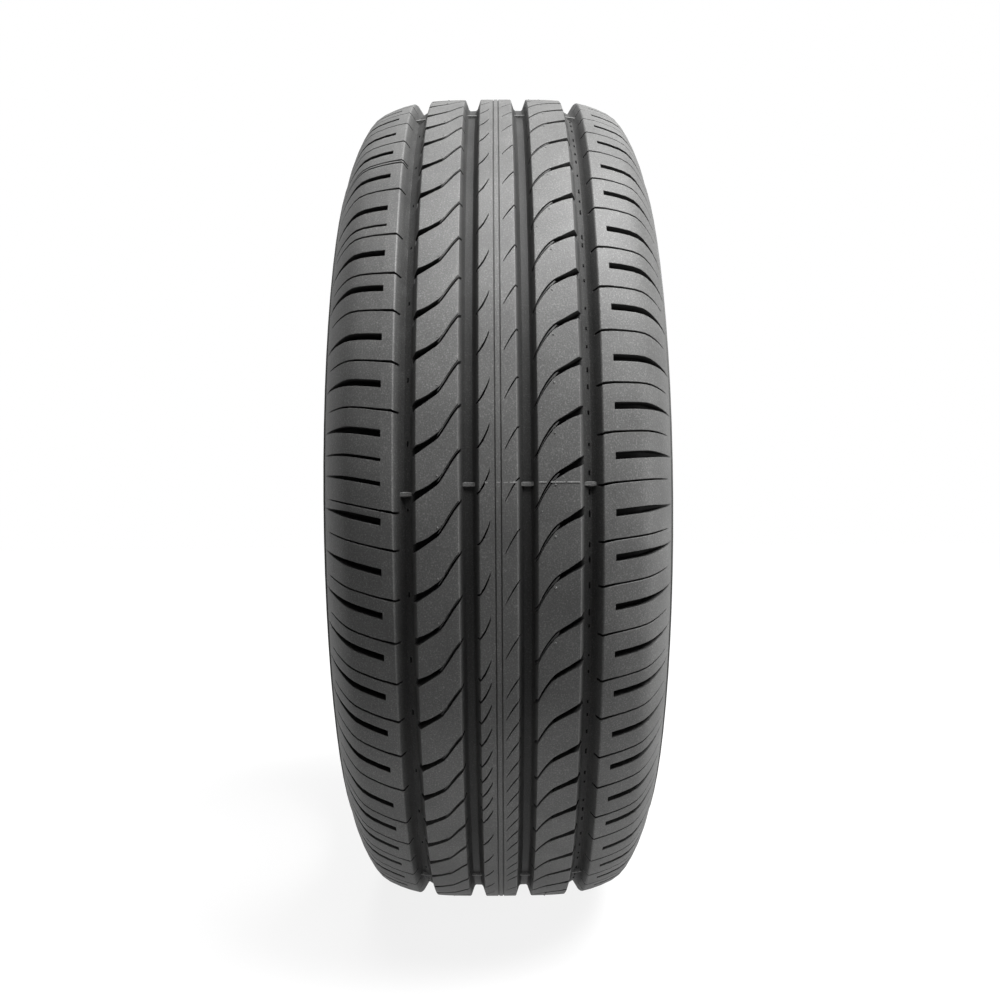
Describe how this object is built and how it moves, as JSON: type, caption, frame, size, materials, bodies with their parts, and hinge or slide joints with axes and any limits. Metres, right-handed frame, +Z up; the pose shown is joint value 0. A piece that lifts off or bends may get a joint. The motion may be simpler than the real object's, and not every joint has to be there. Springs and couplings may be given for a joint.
{
  "type": "car tyre",
  "caption": "Radial passenger car tyre without a wheel, standing upright, with straight grooves around the tread, slanted rib slots and shoulder slots that mirror each other by a half turn.",
  "frame": {"origin": "centre of the tyre, on the axle line and halfway between the sidewalls", "axes": "+Y along the axle, towards the right of the picture; +X towards the camera, through the middle of the tread; +Z up as the tyre stands"},
  "size_m": [0.632, 0.215, 0.632],
  "materials": {
    "tyre": "matte black rubber"
  },
  "bodies": {
    "root": {"tyre": "tyre"}
  },
  "joints": []
}
